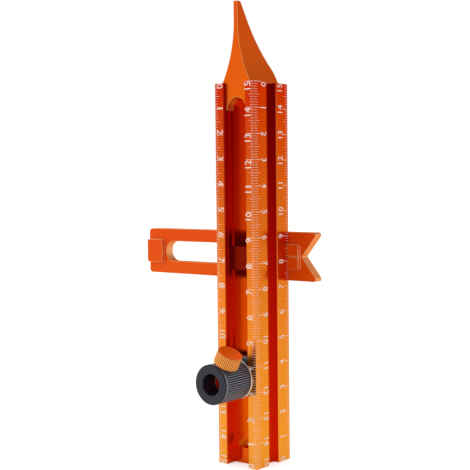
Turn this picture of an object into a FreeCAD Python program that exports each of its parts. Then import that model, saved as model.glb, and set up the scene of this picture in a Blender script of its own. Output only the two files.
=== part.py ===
import FreeCAD, Part
import math
import os
import re
import Sketcher

# Marking ruler: a slotted aluminium beam with a scribing beak at its top, a pencil holder and
# a notched cross plate that slide along the slot, and the screws that clamp them.
# Millimetres. +Z runs up the beam, -Y is the front face, +X is its right side, and the origin
# is the middle of the beam's lower end.

SIZES = {
    # Beam section and slot
    "beam_length": 150.0,
    "beam_width": 19.4,
    "beam_depth": 21.8,
    "channel_width": 10.4,
    "channel_depth": 5.1,
    "side_channel_width": 6.1,
    "side_channel_depth": 2.4,
    "groove_inset": 1.3,
    "groove_width": 0.85,
    "groove_depth": 0.35,
    "edge_bevel": 0.25,
    "slot_width": 9.4,
    "slot_low": 10.8,
    "slot_top_wall": 10.4,
    # Beak
    "nose_height": 31.3,
    "nose_base_width": 13.6,
    "nose_tip_width": 1.8,
    "nose_tip_depth": 2.0,
    "nose_flare_height": 24.0,
    "nose_front_recess": 1.4,
    "nose_back_recess": 2.0,
    "nose_heel": 4.2,
    "nose_heel_radius": 7.0,
    "nose_fit": 0.03,
    "nose_screw_diameter": 2.5,
    "nose_screw_head": 4.6,
    "nose_screw_length": 8.0,
    # Running gaps
    "slide_gap": 0.1,
    "face_gap": 0.05,
    "bore_gap": 0.05,
    # Pencil holder
    "pencil_place": 34.7,
    "pencil_bore": 8.2,
    "tube_diameter": 9.2,
    "tube_reach": 7.6,
    "flange_length": 16.0,
    "flange_thickness": 2.4,
    "shoe_thickness": 2.6,
    "shoe_above": 8.5,
    "shoe_below": 6.6,
    "shoe_round": 1.4,
    "washer_diameter": 15.8,
    "washer_thickness": 0.6,
    "washer_bevel": 0.2,
    "barrel_diameter": 15.6,
    "barrel_length": 15.3,
    "barrel_bevel": 0.4,
    "barrel_mouth_bevel": 0.25,
    "barrel_rim": 1.1,
    "flute_depth": 0.38,
    "flute_width": 0.55,
    "flute_count": 56,
    # Pencil thumbscrew
    "thumb_tilt": 27.5,
    "thumb_setback": 4.3,
    "thumb_stud_diameter": 4.0,
    "thumb_head_diameter": 9.8,
    "thumb_head_length": 5.4,
    "thumb_head_lift": 0.75,
    "thumb_bevel": 0.3,
    "thumb_socket": 3.4,
    "thumb_flute_depth": 0.22,
    "thumb_flute_width": 0.4,
    "thumb_flute_count": 44,
    # Cross plate
    "plate_place": 81.65,
    "plate_length": 89.1,
    "plate_height": 19.4,
    "plate_thickness": 4.0,
    "plate_corner": 1.6,
    "plate_slot_height": 8.7,
    "plate_end_wall": 9.9,
    "key_height": 9.9,
    "key_rise": 1.5,
    "key_long": 8.7,
    "key_short": 5.4,
    "key_corner": 0.7,
    "index_width": 0.5,
    "index_depth": 0.35,
    "notch_wall": 1.0,
    "notch_half_angle": 51.0,
    "notch_round": 0.8,
    "notch_slot_wall": 9.5,
    "tip_round": 1.05,
    # Cross plate clamp
    "block_height": 9.0,
    "block_flange": 1.6,
    "boss_diameter": 8.5,
    "boss_short": 0.4,
    "screw_diameter": 5.0,
    "screw_depth": 9.0,
    "screw_socket": 5.0,
    "clamp_washer_diameter": 14.0,
    "clamp_washer_thickness": 1.0,
    "knob_diameter": 16.0,
    "knob_length": 8.0,
    "knob_bevel": 0.6,
    "knob_flute_count": 40,
    "knob_neck_diameter": 10.5,
    "knob_neck_length": 1.5,
}

# Lengths worked out from the driving sizes, in the words of the formulas below
BEAM_FRONT = "beam_depth / 2"
FLOOR = "(beam_depth / 2 - channel_depth)"
WEB = "(beam_depth - 2 * channel_depth)"
SLOT_HIGH = "(beam_length - slot_top_wall)"
NOSE_SCREW_UP = "(beam_length + (slot_width / 2 - slot_top_wall) / 2)"
NOSE_FRONT = "(beam_depth / 2 - nose_front_recess)"
NOSE_BACK = "(beam_depth / 2 - nose_back_recess)"
NOSE_TOP = "(beam_length + nose_height)"
PLATE_FACE = "(beam_depth / 2 + face_gap)"
KEY_START = "(beam_width / 2 + slide_gap)"
NOTCH_ROOT = "(beam_width / 2 + slide_gap + key_short + notch_wall)"
NOTCH_CENTRE = f"({NOTCH_ROOT} + notch_round)"
NOTCH_SLOPE = "((plate_height / 2 - tip_round) / tan(notch_half_angle))"
NOTCH_ROUNDS = "((notch_round + tip_round) / sin(notch_half_angle))"
TIP_CENTRE = f"({NOTCH_CENTRE} + {NOTCH_SLOPE} - {NOTCH_ROUNDS})"
PLATE_LEFT = f"({TIP_CENTRE} + tip_round - plate_length)"

doc = FreeCAD.newDocument("marking_ruler")
sheet = doc.addObject("Spreadsheet::Sheet", "sizes")
for row, (alias, value) in enumerate(SIZES.items(), start=1):
    sheet.set(f"A{row}", str(value))
    sheet.setAlias(f"A{row}", alias)
doc.recompute()


def bind(formula):
    """Point every size word of a formula at its cell."""
    return re.sub(r"[a-z]+(?:_[a-z]+)+", lambda word: "sizes." + word.group(), str(formula))


def number(formula):
    """Value of a formula, in millimetres."""
    return float(sheet.evalExpression(bind(formula)))


def hold_coordinate(sketch, kind, edge, end, formula):
    """Hold one coordinate of a point of an edge."""
    row = sketch.addConstraint(Sketcher.Constraint(kind, -1, 1, edge, end, number(formula)))
    sketch.setExpression(f"Constraints[{row}]", bind(formula))


def place_point(sketch, edge, end, across, along):
    """Hold a point of an edge at its two coordinates."""
    hold_coordinate(sketch, "DistanceX", edge, end, across)
    hold_coordinate(sketch, "DistanceY", edge, end, along)


def hold_radius(sketch, edge, formula):
    """Hold the radius of a circle or arc."""
    row = sketch.addConstraint(Sketcher.Constraint("Radius", edge, number(formula)))
    sketch.setExpression(f"Constraints[{row}]", bind(formula))


def vector(across, along):
    """Point of a sketch from two formulas."""
    return FreeCAD.Vector(number(across), number(along), 0)


def add_arc(sketch, centre, radius, start, end):
    """Arc about a centre, anticlockwise between two angles."""
    ring = Part.Circle(vector(*centre), FreeCAD.Vector(0, 0, 1), number(radius))
    return sketch.addGeometry(Part.ArcOfCircle(ring, start, end), False)


def end_at(sketch, edge, point):
    """Which end of an edge, 1 or 2, lies at a point given as formulas."""
    shape = sketch.Geometry[edge]
    target = vector(*point)
    return 1 if (shape.StartPoint - target).Length < (shape.EndPoint - target).Length else 2


def outline(sketch, points, arcs):
    """Closed outline through points, straight but for the arcs given by the step they take."""
    first = sketch.GeometryCount
    for step, (here, there) in enumerate(zip(points, points[1:] + points[:1])):
        if step in arcs:
            add_arc(sketch, *arcs[step])
        else:
            sketch.addGeometry(Part.LineSegment(vector(*here), vector(*there)), False)
    for step, point in enumerate(points):
        edge = first + step
        before = first + (step - 1) % len(points)
        start = end_at(sketch, edge, point)
        sketch.addConstraint(Sketcher.Constraint(
            "Coincident", before, end_at(sketch, before, point), edge, start))
        place_point(sketch, edge, start, *point)
    for step, (_, radius, _, _) in arcs.items():
        hold_radius(sketch, first + step, radius)


def polygon(sketch, points):
    """Closed outline of straight edges through points given as formula pairs."""
    outline(sketch, points, {})


def disc(sketch, across, along, diameter):
    """Circle at a centre."""
    edge = sketch.addGeometry(
        Part.Circle(vector(across, along), FreeCAD.Vector(0, 0, 1), number(diameter) / 2), False)
    place_point(sketch, edge, 3, across, along)
    hold_radius(sketch, edge, f"({diameter}) / 2")


def stadium(sketch, low, high, width, upright):
    """Slot with round ends between two end centres, upright or lying."""
    half = f"({width}) / 2"
    if upright:
        corners = [(half, low), (half, high), (f"-{half}", high), (f"-{half}", low)]
        centres = [("0", low), ("0", high)]
        turns = [(math.pi, 2 * math.pi), (0, math.pi)]
    else:
        corners = [(high, half), (low, half), (low, f"-{half}"), (high, f"-{half}")]
        centres = [(high, "0"), (low, "0")]
        turns = [(-math.pi / 2, math.pi / 2), (math.pi / 2, 3 * math.pi / 2)]
    first = sketch.GeometryCount
    sketch.addGeometry(Part.LineSegment(vector(*corners[0]), vector(*corners[1])), False)
    sketch.addGeometry(Part.LineSegment(vector(*corners[2]), vector(*corners[3])), False)
    for centre, (start, end) in zip(centres, turns):
        add_arc(sketch, centre, half, start, end)
    place_point(sketch, first, 1, *corners[0])
    place_point(sketch, first, 2, *corners[1])
    place_point(sketch, first + 1, 1, *corners[2])
    place_point(sketch, first + 1, 2, *corners[3])
    for arc, arc_side, line, line_side in ((2, 1, 1, 2), (2, 2, 0, 1), (3, 1, 0, 2), (3, 2, 1, 1)):
        sketch.addConstraint(Sketcher.Constraint(
            "Coincident", first + arc, arc_side, first + line, line_side))
    kind = "DistanceY" if upright else "DistanceX"
    for arc, centre in zip((2, 3), centres):
        hold_coordinate(sketch, kind, first + arc, 3, centre[1] if upright else centre[0])


def rounded_box(sketch, left, right, low, high, radius):
    """Rectangle with four round corners."""
    lines = [((f"{left} + {radius}", low), (f"{right} - {radius}", low)),
             ((right, f"{low} + {radius}"), (right, f"{high} - {radius}")),
             ((f"{right} - {radius}", high), (f"{left} + {radius}", high)),
             ((left, f"{high} - {radius}"), (left, f"{low} + {radius}"))]
    centres = [(f"{right} - {radius}", f"{low} + {radius}"),
               (f"{right} - {radius}", f"{high} - {radius}"),
               (f"{left} + {radius}", f"{high} - {radius}"),
               (f"{left} + {radius}", f"{low} + {radius}")]
    first = sketch.GeometryCount
    for start, end in lines:
        sketch.addGeometry(Part.LineSegment(vector(*start), vector(*end)), False)
    for step, centre in enumerate(centres):
        start = (step - 1) * math.pi / 2
        add_arc(sketch, centre, radius, start, start + math.pi / 2)
    for step, (start, end) in enumerate(lines):
        place_point(sketch, first + step, 1, *start)
        place_point(sketch, first + step, 2, *end)
        arc = first + 4 + step
        sketch.addConstraint(Sketcher.Constraint("Coincident", arc, 1, first + step, 2))
        sketch.addConstraint(Sketcher.Constraint("Coincident", arc, 2, first + (step + 1) % 4, 1))
        hold_radius(sketch, arc, radius)


def new_body(label):
    """Empty sub-part with its own label."""
    body = doc.addObject("PartDesign::Body", label)
    body.Label = label
    return body


def new_sketch(body, name, plane, offset="0"):
    """Sketch on one of the body's own planes, moved along the plane's normal."""
    sketch = body.newObject("Sketcher::SketchObject", name)
    support = [item for item in body.Origin.OriginFeatures if item.Role == plane + "_Plane"]
    sketch.AttachmentSupport = [(support[0], "")]
    sketch.MapMode = "FlatFace"
    sketch.setExpression("AttachmentOffset.Base.z", bind(offset))
    return sketch


def extrude(body, kind, name, sketch, length):
    """Pad or pocket a sketch along its plane's normal, and check that it did something."""
    before = body.Shape.Volume if body.Tip else 0.0
    feature = body.newObject(f"PartDesign::{kind}", name)
    feature.Profile = sketch
    feature.setExpression("Length", bind(length))
    feature.Reversed = kind == "Pocket"
    body.Tip = feature
    doc.recompute()
    change = body.Shape.Volume - before
    assert (change > 0) == (kind == "Pad") and abs(change) > 1e-6, f"{name} changed nothing"
    return feature


def turn(body, name, points, plane="XZ"):
    """Solid of revolution about the upright axis of one of the body's own planes."""
    sketch = new_sketch(body, name + "_profile", plane)
    polygon(sketch, points)
    feature = body.newObject("PartDesign::Revolution", name)
    feature.Profile = sketch
    feature.ReferenceAxis = (sketch, ["V_Axis"])
    body.Tip = feature
    doc.recompute()
    return feature


def flute_ring(body, name, radius, depth, width, count, low, length, plane="XY"):
    """Ring of V grooves down a round body's side, along a plane's normal."""
    sketch = new_sketch(body, name + "_outline", plane, low)
    reach = f"({radius}) + ({depth})"
    polygon(sketch, [(f"({radius}) - ({depth})", "0"), (reach, f"({width})"),
                     (reach, f"-({width})")])
    cut = extrude(body, "Pocket", name + "_cut", sketch, length)
    ring = body.newObject("PartDesign::PolarPattern", name)
    ring.Originals = [cut]
    ring.Axis = (sketch, ["N_Axis"])
    ring.Angle = 360
    ring.setExpression("Occurrences", bind(count))
    body.Tip = ring
    doc.recompute()
    return ring


def stand(body, across="0", along="0", up="0", axis=(0, 0, 1), angle="0"):
    """Place a body by formulas."""
    body.Placement = FreeCAD.Placement(
        FreeCAD.Vector(0, 0, 0), FreeCAD.Rotation(FreeCAD.Vector(*axis), number(angle)))
    body.setExpression("Placement.Base.x", bind(across))
    body.setExpression("Placement.Base.y", bind(along))
    body.setExpression("Placement.Base.z", bind(up))
    if not re.fullmatch(r"-?\d+", angle):
        body.setExpression("Placement.Rotation.Angle", bind(angle))


def beam_quarter():
    """Outline of the beam's front right quarter, from the channel floor round to the side."""
    wall = "channel_width / 2"
    side = "beam_width / 2"
    groove_start = f"-({BEAM_FRONT} - groove_inset)"
    groove_end = f"-({BEAM_FRONT} - groove_inset - groove_width)"
    return [(wall, f"-{FLOOR}"),
            (wall, groove_end),
            (f"{wall} + groove_depth", groove_end),
            (f"{wall} + groove_depth", groove_start),
            (wall, groove_start),
            (wall, f"-({BEAM_FRONT} - edge_bevel)"),
            (f"{wall} + edge_bevel", f"-({BEAM_FRONT})"),
            (f"{side} - edge_bevel", f"-({BEAM_FRONT})"),
            (side, f"-({BEAM_FRONT} - edge_bevel)"),
            (side, "-(side_channel_width / 2 + edge_bevel)"),
            (f"{side} - edge_bevel", "-side_channel_width / 2"),
            (f"{side} - side_channel_depth", "-side_channel_width / 2")]


def mirror(points, flip_across, flip_along):
    """Outline mirrored across either axis."""
    across = "-1 * " if flip_across else ""
    along = "-1 * " if flip_along else ""
    return [(f"{across}({u})", f"{along}({v})") for u, v in points]


def make_beam():
    """Extruded beam with front, back and side channels, slotted through its web."""
    body = new_body("beam")
    section = new_sketch(body, "beam_section", "XY")
    quarter = beam_quarter()
    polygon(section, quarter + mirror(quarter, False, True)[::-1]
            + mirror(quarter, True, True) + mirror(quarter, True, False)[::-1])
    extrude(body, "Pad", "beam_bar", section, "beam_length")
    slot = new_sketch(body, "beam_slot_outline", "XZ", f"-{BEAM_FRONT}")
    stadium(slot, "slot_low", SLOT_HIGH, "slot_width", upright=True)
    extrude(body, "Pocket", "beam_slot", slot, "beam_depth")
    hole = new_sketch(body, "nose_screw_hole_outline", "XZ", f"-{FLOOR}")
    disc(hole, "0", NOSE_SCREW_UP, "nose_screw_diameter + 2 * bore_gap")
    extrude(body, "Pocket", "nose_screw_hole", hole, "nose_screw_length")
    return body


def nose_front_outline(sketch):
    """Beak seen from the front: hollow flanks over a tongue as wide as the channel."""
    tip = "nose_tip_width / 2"
    base = "nose_base_width / 2"
    tongue = "(channel_width / 2 - nose_fit)"
    flare = "(beam_length + nose_flare_height)"
    drop = "((nose_base_width - nose_tip_width) / 2)"
    sweep = f"(({drop} * {drop} + nose_flare_height * nose_flare_height) / (2 * {drop}))"
    right = [(tongue, SLOT_HIGH), (tongue, "beam_length"), (base, "beam_length"),
             (tip, flare), (tip, NOSE_TOP)]
    lift = math.asin(number(f"nose_flare_height / {sweep}"))
    right_flank, left_flank = 2, 6
    outline(sketch, right + mirror(right, True, False)[::-1], {
        right_flank: ((f"{tip} + {sweep}", flare), sweep, math.pi, math.pi + lift),
        left_flank: ((f"-({tip} + {sweep})", flare), sweep, -lift, 0)})


def make_nose():
    """Beak: flat front, hollow flanks, a leaning back, and a tongue in each channel."""
    body = new_body("nose")
    front = new_sketch(body, "nose_front_outline", "XZ", f"-{NOSE_BACK}")
    nose_front_outline(front)
    extrude(body, "Pad", "nose_blank", front, f"{NOSE_FRONT} + {NOSE_BACK}")
    back = new_sketch(body, "nose_back_outline", "YZ", "-nose_base_width")
    lean_outline(back)
    extrude(body, "Pocket", "nose_back_lean", back, "2 * nose_base_width")
    web = new_sketch(body, "nose_web_gap_outline", "YZ", "-nose_base_width")
    polygon(web, [(f"-{FLOOR}", "beam_length"), (f"-{FLOOR}", f"{SLOT_HIGH} - slot_width"),
                  (FLOOR, f"{SLOT_HIGH} - slot_width"), (FLOOR, "beam_length")])
    extrude(body, "Pocket", "nose_web_gap", web, "2 * nose_base_width")
    arch = new_sketch(body, "nose_arch_outline", "XZ", f"-{BEAM_FRONT}")
    disc(arch, "0", SLOT_HIGH, "slot_width")
    extrude(body, "Pocket", "nose_arch", arch, "beam_depth")
    hole = new_sketch(body, "nose_tongue_hole_outline", "XZ", f"-{BEAM_FRONT}")
    disc(hole, "0", NOSE_SCREW_UP, "nose_screw_diameter + 2 * bore_gap")
    extrude(body, "Pocket", "nose_tongue_hole", hole, f"{BEAM_FRONT}")
    sink = body.newObject("PartDesign::SubtractiveCone", "nose_countersink")
    half_head = "(nose_screw_head - nose_screw_diameter) / 2"
    sink.setExpression("Radius1", bind("nose_screw_head / 2 + bore_gap"))
    sink.setExpression("Radius2", bind("nose_screw_diameter / 2 + bore_gap"))
    sink.setExpression("Height", bind(half_head))
    sink.AttachmentOffset = FreeCAD.Placement(
        FreeCAD.Vector(0, 0, 0), FreeCAD.Rotation(FreeCAD.Vector(1, 0, 0), 90))
    sink.Placement = sink.AttachmentOffset
    sink.setExpression("Placement.Base.y", bind(NOSE_BACK))
    sink.setExpression("Placement.Base.z", bind(NOSE_SCREW_UP))
    body.Tip = sink
    doc.recompute()
    return body


def lean_outline(sketch):
    """What is cut off behind the beak's leaning back, with a round heel."""
    heel = "(beam_length + nose_heel)"
    tip_back = f"(nose_tip_depth - {NOSE_FRONT})"
    run = f"({NOSE_BACK} - {tip_back})"
    climb = "(nose_height - nose_heel)"
    slope = math.atan2(number(run), number(climb))
    reach = f"(nose_heel_radius * {math.tan(slope / 2):.6f})"
    length = math.hypot(number(run), number(climb))
    lean_y = f"({NOSE_BACK} - {reach} * {number(run) / length:.6f})"
    lean_z = f"({heel} + {reach} * {number(climb) / length:.6f})"
    outside = f"({NOSE_BACK} + nose_heel_radius)"
    points = [(NOSE_BACK, f"{heel} - {reach}"), (lean_y, lean_z), (tip_back, NOSE_TOP),
              (tip_back, f"{NOSE_TOP} + nose_heel"), (outside, f"{NOSE_TOP} + nose_heel"),
              (outside, f"{heel} - {reach}")]
    centre = (f"{NOSE_BACK} - nose_heel_radius", f"{heel} - {reach}")
    outline(sketch, points, {0: (centre, "nose_heel_radius", 0, slope)})


def make_nose_screw():
    """Countersunk screw that holds the back tongue to the web."""
    body = new_body("nose_screw")
    head = "nose_screw_head / 2"
    shank = "nose_screw_diameter / 2"
    turn(body, "nose_screw_turning", [
        ("0", "0"), (head, "0"), (shank, f"-({head} - {shank})"),
        (shank, "-nose_screw_length"), ("0", "-nose_screw_length")])
    socket = new_sketch(body, "nose_screw_socket_outline", "XY", "-nose_screw_diameter / 2")
    hexagon(socket, "nose_screw_diameter / 2")
    extrude(body, "Pocket", "nose_screw_socket", socket, "nose_screw_diameter")
    stand(body, along=NOSE_BACK, up=NOSE_SCREW_UP, axis=(1, 0, 0), angle="-90")
    return body


def hexagon(sketch, flats):
    """Hexagonal socket of a size across flats."""
    corner = f"(({flats}) / 2 / cos(30))"
    points = [(f"{corner} * cos({60 * step})", f"{corner} * sin({60 * step})")
              for step in range(6)]
    polygon(sketch, points)


def make_clamp_tube():
    """Flanged tube: its flange lies in the back channel and the barrel screws onto its front."""
    body = new_body("clamp_tube")
    flange = new_sketch(body, "tube_flange_outline", "XZ", f"-({FLOOR} + flange_thickness)")
    rounded_box(flange, "-(channel_width / 2 - slide_gap)", "(channel_width / 2 - slide_gap)",
                "-flange_length / 2", "flange_length / 2", "shoe_round")
    extrude(body, "Pad", "tube_flange", flange, "flange_thickness - face_gap")
    tube = new_sketch(body, "tube_outline", "XZ", f"-({FLOOR} + flange_thickness / 2)")
    disc(tube, "0", "0", "tube_diameter")
    extrude(body, "Pad", "tube_shank", tube,
            f"{FLOOR} + flange_thickness / 2 + {BEAM_FRONT} + washer_thickness + tube_reach")
    bore = new_sketch(body, "tube_bore_outline", "XZ", "-beam_depth")
    disc(bore, "0", "0", "pencil_bore")
    extrude(body, "Pocket", "tube_bore", bore, "3 * beam_depth")
    stand(body, up="pencil_place")
    return body


def make_guide_shoe():
    """Steel shoe that keeps the tube square in the front channel."""
    body = new_body("guide_shoe")
    plate = new_sketch(body, "shoe_outline", "XZ", f"({FLOOR} + face_gap)")
    rounded_box(plate, "-(channel_width / 2 - slide_gap)", "(channel_width / 2 - slide_gap)",
                "-shoe_below", "shoe_above", "shoe_round")
    extrude(body, "Pad", "shoe_plate", plate, "shoe_thickness")
    hole = new_sketch(body, "shoe_hole_outline", "XZ", f"{FLOOR}")
    disc(hole, "0", "0", "tube_diameter + 2 * bore_gap")
    extrude(body, "Pocket", "shoe_hole", hole, "2 * shoe_thickness")
    stand(body, up="pencil_place")
    return body


def make_barrel_washer():
    """Bright washer between the barrel and the beam's face."""
    body = new_body("barrel_washer")
    inner = "(tube_diameter / 2 + bore_gap)"
    outer = "(washer_diameter / 2)"
    turn(body, "washer_turning", [
        (inner, "0"), (outer, "0"), (outer, "washer_thickness - washer_bevel"),
        (f"{outer} - washer_bevel", "washer_thickness"), (inner, "washer_thickness")])
    stand(body, along=f"-({BEAM_FRONT} + face_gap)", up="pencil_place",
          axis=(1, 0, 0), angle="90")
    return body


BARREL_BACK = "(beam_depth / 2 + 2 * face_gap + washer_thickness)"


def make_pencil_barrel():
    """Fluted barrel that holds the pencil and screws onto the tube."""
    body = new_body("pencil_barrel")
    outer = "(barrel_diameter / 2)"
    bore = "(pencil_bore / 2)"
    thread = "(tube_diameter / 2 + bore_gap)"
    seat = "(tube_reach + bore_gap)"
    profile = [
        (thread, "0"), (f"{outer} - barrel_bevel / 2", "0"), (outer, "barrel_bevel / 2"),
        (outer, "barrel_length - barrel_bevel"), (f"{outer} - barrel_bevel", "barrel_length"),
        (f"{bore} + barrel_mouth_bevel", "barrel_length"),
        (bore, "barrel_length - barrel_mouth_bevel"), (bore, seat), (thread, seat)]
    turn(body, "barrel_turning", mirror(profile, False, True), plane="XY")
    flute_ring(body, "barrel_flutes", outer, "flute_depth", "flute_width",
               "flute_count", "0", "barrel_length - barrel_rim", plane="XZ")
    hole = new_sketch(body, "thumb_hole_outline", "XY")
    disc(hole, "0", "-(barrel_length - thumb_setback)", "thumb_stud_diameter + 2 * bore_gap")
    extrude(body, "Pocket", "thumb_hole", hole, "barrel_diameter")
    stand(body, along=f"-{BARREL_BACK}", up="pencil_place", axis=(0, 1, 0), angle="thumb_tilt")
    return body


THUMB_ALONG = "-(beam_depth / 2 + 2 * face_gap + washer_thickness + barrel_length - thumb_setback)"
THUMB_SEAT = "(barrel_diameter / 2 + thumb_head_lift)"


def make_thumb_stud():
    """Steel stud of the thumbscrew, whose end bears on the pencil."""
    body = new_body("thumb_stud")
    radius = "thumb_stud_diameter / 2"
    start = "(pencil_bore / 2 + bore_gap)"
    end = f"({THUMB_SEAT} + thumb_socket)"
    turn(body, "stud_turning", [
        ("0", start), (f"{radius} - thumb_bevel", start), (radius, f"{start} + thumb_bevel"),
        (radius, end), ("0", end)])
    stand(body, along=THUMB_ALONG, up="pencil_place", axis=(0, 1, 0), angle="thumb_tilt")
    return body


def make_thumb_head():
    """Knurled head of the thumbscrew."""
    body = new_body("thumb_head")
    outer = "(thumb_head_diameter / 2)"
    hole = "(thumb_stud_diameter / 2 + bore_gap)"
    top = f"({THUMB_SEAT} + thumb_head_length)"
    floor = f"({THUMB_SEAT} + thumb_socket + bore_gap)"
    turn(body, "head_turning", [
        (hole, THUMB_SEAT), (f"{outer} - thumb_bevel", THUMB_SEAT),
        (outer, f"{THUMB_SEAT} + thumb_bevel"), (outer, f"{top} - thumb_bevel"),
        (f"{outer} - thumb_bevel", top), ("0", top), ("0", floor), (hole, floor)])
    flute_ring(body, "head_flutes", outer, "thumb_flute_depth", "thumb_flute_width",
               "thumb_flute_count", THUMB_SEAT, "thumb_head_length - thumb_bevel")
    stand(body, along=THUMB_ALONG, up="pencil_place", axis=(0, 1, 0), angle="thumb_tilt")
    return body


def plate_outline(sketch):
    """Cross plate: round left corners, and a V notch with a round root between round tips."""
    top = "(plate_height / 2)"
    corner = f"({PLATE_LEFT} + plate_corner)"
    tip_high = f"({top} - tip_round)"
    upper = [(f"{NOTCH_CENTRE} - notch_round * sin(notch_half_angle)",
              "notch_round * cos(notch_half_angle)"),
             (f"{TIP_CENTRE} + tip_round * sin(notch_half_angle)",
              f"{tip_high} - tip_round * cos(notch_half_angle)"),
             (TIP_CENTRE, top),
             (corner, top),
             (PLATE_LEFT, f"{top} - plate_corner")]
    lean = math.pi / 2 - math.radians(number("notch_half_angle"))
    upper_tip, upper_corner, lower_corner, lower_tip, root = 1, 3, 5, 7, 9
    outline(sketch, upper + mirror(upper, False, True)[::-1], {
        upper_tip: ((TIP_CENTRE, tip_high), "tip_round", -lean, math.pi / 2),
        upper_corner: ((corner, f"{top} - plate_corner"), "plate_corner", math.pi / 2, math.pi),
        lower_corner: ((corner, f"plate_corner - {top}"), "plate_corner",
                       math.pi, 3 * math.pi / 2),
        lower_tip: ((TIP_CENTRE, f"-{tip_high}"), "tip_round", -math.pi / 2, lean),
        root: ((NOTCH_CENTRE, "0"), "notch_round", math.pi - lean, math.pi + lean)})


def make_cross_plate():
    """Slotted cross plate with a V notch, and a key at each end that squares it to the beam."""
    body = new_body("cross_plate")
    outline = new_sketch(body, "plate_outline", "XZ", f"-({PLATE_FACE} + plate_thickness)")
    plate_outline(outline)
    extrude(body, "Pad", "plate_blank", outline, "plate_thickness")
    half_key = "key_height / 2"
    keys = new_sketch(body, "key_outline", "XZ", f"-{PLATE_FACE}")
    rounded_box(keys, PLATE_LEFT, f"({PLATE_LEFT} + key_long)", f"-{half_key}", half_key,
                "key_corner")
    rounded_box(keys, KEY_START, f"({KEY_START} + key_short)", f"-{half_key}", half_key,
                "key_corner")
    extrude(body, "Pad", "plate_keys", keys, "key_rise")
    slot = new_sketch(body, "plate_slot_outline", "XZ", f"-({PLATE_FACE} + plate_thickness)")
    stadium(slot, f"{PLATE_LEFT} + plate_end_wall + plate_slot_height / 2",
            f"{NOTCH_ROOT} - notch_slot_wall - plate_slot_height / 2",
            "plate_slot_height", upright=False)
    extrude(body, "Pocket", "plate_slot", slot, "plate_thickness")
    index = new_sketch(body, "index_outline", "XZ",
                       f"-({PLATE_FACE} - key_rise + index_depth)")
    polygon(index, [(KEY_START, "-index_width / 2"),
                    (f"{KEY_START} + key_short", "-index_width / 2"),
                    (f"{KEY_START} + key_short", "index_width / 2"),
                    (KEY_START, "index_width / 2")])
    extrude(body, "Pocket", "plate_index", index, "2 * index_depth")
    stand(body, up="plate_place")
    return body


def make_guide_block():
    """Block that slides in the beam's slot and carries the cross plate on its round boss."""
    body = new_body("guide_block")
    half = "block_height / 2"
    flange = new_sketch(body, "block_flange_outline", "XZ", f"({FLOOR} + face_gap)")
    rounded_box(flange, "-(channel_width / 2 - slide_gap)", "(channel_width / 2 - slide_gap)",
                f"-{half}", half, "key_corner")
    extrude(body, "Pad", "block_flange_pad", flange, "block_flange")
    neck = new_sketch(body, "block_neck_outline", "XZ", f"-{FLOOR}")
    rounded_box(neck, "-(slot_width / 2 - slide_gap)", "(slot_width / 2 - slide_gap)",
                f"-{half}", half, "key_corner")
    extrude(body, "Pad", "block_neck", neck, f"{WEB} + 2 * face_gap")
    boss = new_sketch(body, "block_boss_outline", "XZ",
                      f"-({PLATE_FACE} + plate_thickness - boss_short)")
    disc(boss, "0", "0", "boss_diameter")
    extrude(body, "Pad", "block_boss", boss,
            f"{PLATE_FACE} + plate_thickness - boss_short - {FLOOR} + slide_gap")
    hole = new_sketch(body, "block_hole_outline", "XZ",
                      f"-({PLATE_FACE} + plate_thickness)")
    disc(hole, "0", "0", "screw_diameter + 2 * bore_gap")
    extrude(body, "Pocket", "block_hole", hole,
            "plate_thickness + screw_depth + bore_gap")
    stand(body, up="plate_place")
    return body


WASHER_SEAT = "(beam_depth / 2 + 2 * face_gap + plate_thickness)"
KNOB_SEAT = "(beam_depth / 2 + 3 * face_gap + plate_thickness + clamp_washer_thickness)"


def make_clamp_washer():
    """Steel washer between the knob and the cross plate."""
    body = new_body("clamp_washer")
    inner = "(screw_diameter / 2 + bore_gap)"
    outer = "(clamp_washer_diameter / 2)"
    turn(body, "clamp_washer_turning", [
        (inner, "0"), (outer, "0"), (outer, "clamp_washer_thickness"),
        (inner, "clamp_washer_thickness")])
    stand(body, along=WASHER_SEAT, up="plate_place", axis=(1, 0, 0), angle="-90")
    return body


def make_clamp_screw():
    """Steel screw that runs from the knob into the guide block."""
    body = new_body("clamp_screw")
    radius = "screw_diameter / 2"
    low = f"({PLATE_FACE} - screw_depth)"
    high = f"({KNOB_SEAT} + screw_socket)"
    turn(body, "clamp_screw_turning", [
        ("0", low), (f"{radius} - thumb_bevel", low), (radius, f"{low} + thumb_bevel"),
        (radius, high), ("0", high)])
    stand(body, up="plate_place", axis=(1, 0, 0), angle="-90")
    return body


def make_clamp_knob():
    """Fluted knob behind the cross plate."""
    body = new_body("clamp_knob")
    outer = "(knob_diameter / 2)"
    neck = "(knob_neck_diameter / 2)"
    hole = "(screw_diameter / 2 + bore_gap)"
    floor = "(screw_socket + bore_gap)"
    top = "(knob_neck_length + knob_length)"
    turn(body, "knob_turning", [
        (hole, "0"), (neck, "0"), (neck, "knob_neck_length"),
        (f"{outer} - knob_bevel", "knob_neck_length"),
        (outer, "knob_neck_length + knob_bevel"), (outer, f"{top} - knob_bevel"),
        (f"{outer} - knob_bevel", top), ("0", top), ("0", floor), (hole, floor)])
    flute_ring(body, "knob_flutes", outer, "flute_depth", "flute_width",
               "knob_flute_count", "knob_neck_length", "knob_length - knob_bevel")
    stand(body, along=KNOB_SEAT, up="plate_place", axis=(1, 0, 0), angle="-90")
    return body


MAKERS = [make_beam, make_nose, make_nose_screw, make_clamp_tube, make_guide_shoe,
          make_barrel_washer, make_pencil_barrel, make_thumb_stud, make_thumb_head,
          make_cross_plate, make_guide_block, make_clamp_washer, make_clamp_screw,
          make_clamp_knob]

bodies = [make() for make in MAKERS]
doc.recompute()

for item in doc.Objects:
    assert not {"Invalid", "Error"} & set(item.State), f"{item.Name} is {item.State}"

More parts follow.
